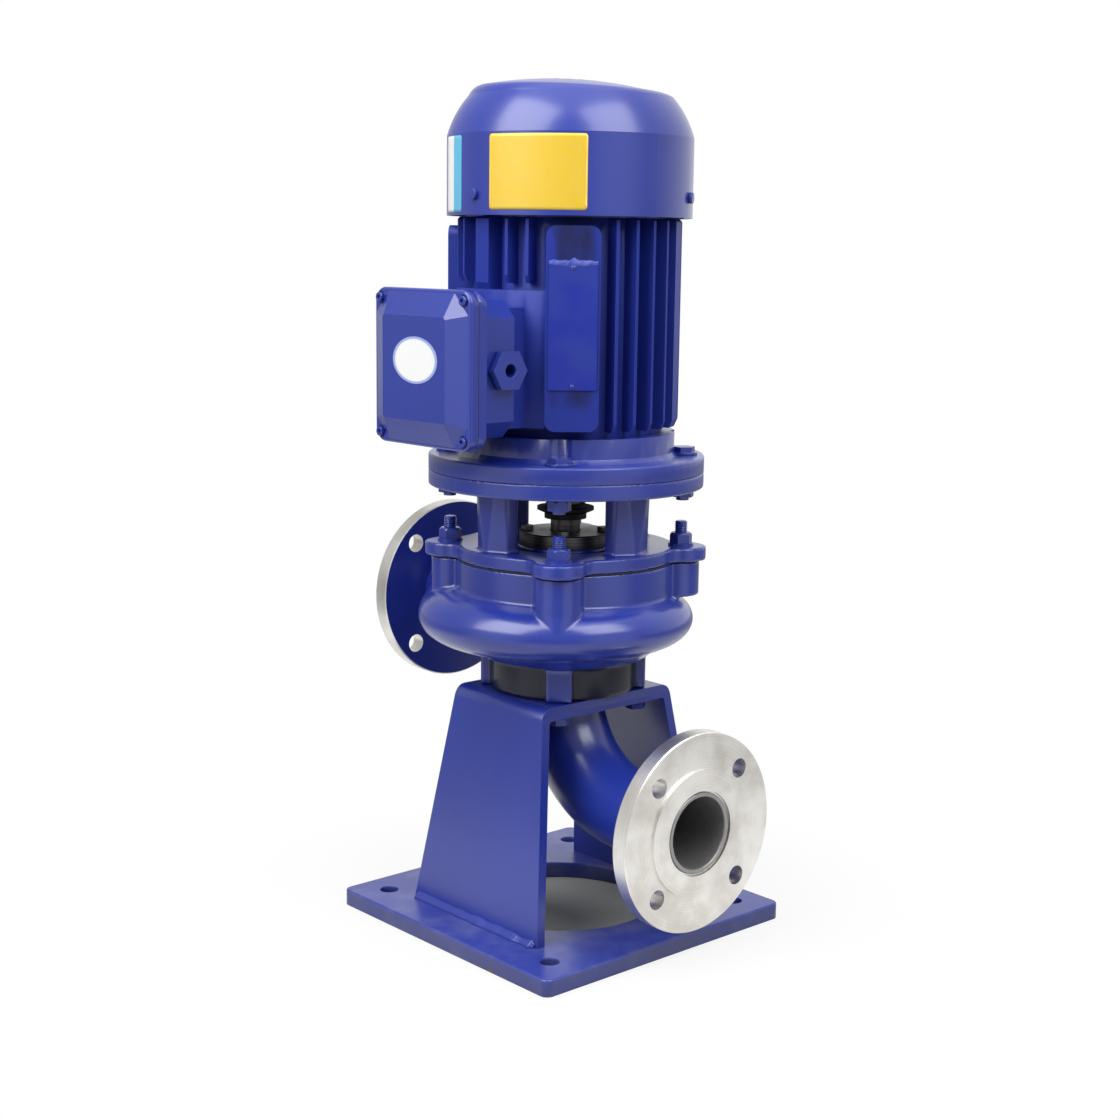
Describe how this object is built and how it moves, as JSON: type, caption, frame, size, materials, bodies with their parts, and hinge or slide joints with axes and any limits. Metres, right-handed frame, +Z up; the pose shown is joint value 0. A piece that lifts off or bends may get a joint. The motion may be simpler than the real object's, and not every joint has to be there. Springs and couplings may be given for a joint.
{
  "type": "vertical sewage pump",
  "caption": "Upright in-line pump: flanged electric motor with fan cowl and terminal box on a lantern, spiral casing with side discharge, suction elbow and splayed stand on a square base.",
  "frame": {"origin": "centre of the four anchor holes on the underside of the base plate, which is also on the shaft axis", "axes": "+Z up along the shaft, +X out of the suction flange, -X out of the discharge flange, -Y out of the terminal box lid"},
  "size_m": [0.371, 0.334, 0.7959],
  "materials": {
    "blue_enamel": "glossy blue enamel",
    "bare_flange_steel": "turned, bare",
    "plate_aluminium": "blank plate, painted over",
    "black_gasket": "matt",
    "seal_rubber": "matt",
    "bronze": "turned",
    "grey_iron": "as cast",
    "turned_steel": "turned",
    "seal_ceramic": "polished ceramic",
    "seal_carbon": "lapped carbon",
    "spring_steel": "bright",
    "bearing_steel": "ground",
    "cage_brass": "satin",
    "core_steel": "stacked sheet",
    "winding_copper": "varnished copper",
    "fan_plastic": "moulded",
    "board_plastic": "moulded",
    "terminal_brass": "plain"
  },
  "bodies": {
    "pump": {"base_plate": "blue_enamel", "stand_frame": "blue_enamel", "stand_weld_beads": "blue_enamel", "suction_elbow": "blue_enamel", "volute_casing": "blue_enamel", "lantern_bracket": "blue_enamel", "drive_end_shield": "blue_enamel", "motor_frame": "blue_enamel", "top_shield": "blue_enamel", "terminal_box_base": "blue_enamel", "terminal_box_lid": "blue_enamel", "fan_cowl": "blue_enamel", "foot_bolts": "blue_enamel", "foot_washers": "blue_enamel", "elbow_bolts": "blue_enamel", "casing_studs": "blue_enamel", "casing_nuts": "blue_enamel", "casing_washers": "blue_enamel", "motor_flange_bolts": "blue_enamel", "motor_flange_nuts": "blue_enamel", "motor_tie_bolts": "blue_enamel", "cowl_screws": "blue_enamel", "terminal_lid_screws": "blue_enamel", "cable_gland": "blue_enamel", "suction_flange": "bare_flange_steel", "discharge_flange": "bare_flange_steel", "rating_plate_blank": "plate_aluminium", "casing_gasket": "black_gasket", "elbow_gasket": "black_gasket", "terminal_box_gasket": "black_gasket", "casing_wear_ring": "bronze", "seal_gland_plate": "turned_steel", "seal_gland_bolts": "turned_steel", "seal_stationary_seat": "seal_ceramic", "bearing_wave_spring": "spring_steel", "lower_bearing_outer_ring": "bearing_steel", "upper_bearing_outer_ring": "bearing_steel", "stator_core": "core_steel", "stator_windings": "winding_copper", "terminal_board": "board_plastic", "terminal_studs": "terminal_brass"},
    "rotor": {"motor_shaft": "turned_steel", "rotor_core": "core_steel", "lower_bearing_inner_ring": "bearing_steel", "upper_bearing_inner_ring": "bearing_steel", "cooling_fan": "fan_plastic", "fan_retaining_ring": "turned_steel", "water_slinger": "seal_rubber", "seal_rotating_head": "seal_carbon", "seal_spring": "spring_steel", "impeller": "grey_iron", "impeller_key": "turned_steel", "impeller_nut": "turned_steel"},
    "lower_cage": {"lower_bearing_balls": "bearing_steel", "lower_bearing_cage": "cage_brass"},
    "upper_cage": {"upper_bearing_balls": "bearing_steel", "upper_bearing_cage": "cage_brass"}
  },
  "joints": [
    {"name": "shaft_spin", "type": "hinge", "parent": "pump", "child": "rotor", "pos_m": [0, 0, 0.465], "axis": [0, 0, 1], "continuous": true},
    {"name": "lower_cage_spin", "type": "hinge", "parent": "pump", "child": "lower_cage", "pos_m": [0, 0, 0.465], "axis": [0, 0, 1], "continuous": true},
    {"name": "upper_cage_spin", "type": "hinge", "parent": "pump", "child": "upper_cage", "pos_m": [0, 0, 0.667], "axis": [0, 0, 1], "continuous": true}
  ],
  "couplings": [
    {"joint": "lower_cage_spin", "follows": "shaft_spin", "ratio": 0.3978},
    {"joint": "upper_cage_spin", "follows": "shaft_spin", "ratio": 0.3978}
  ]
}
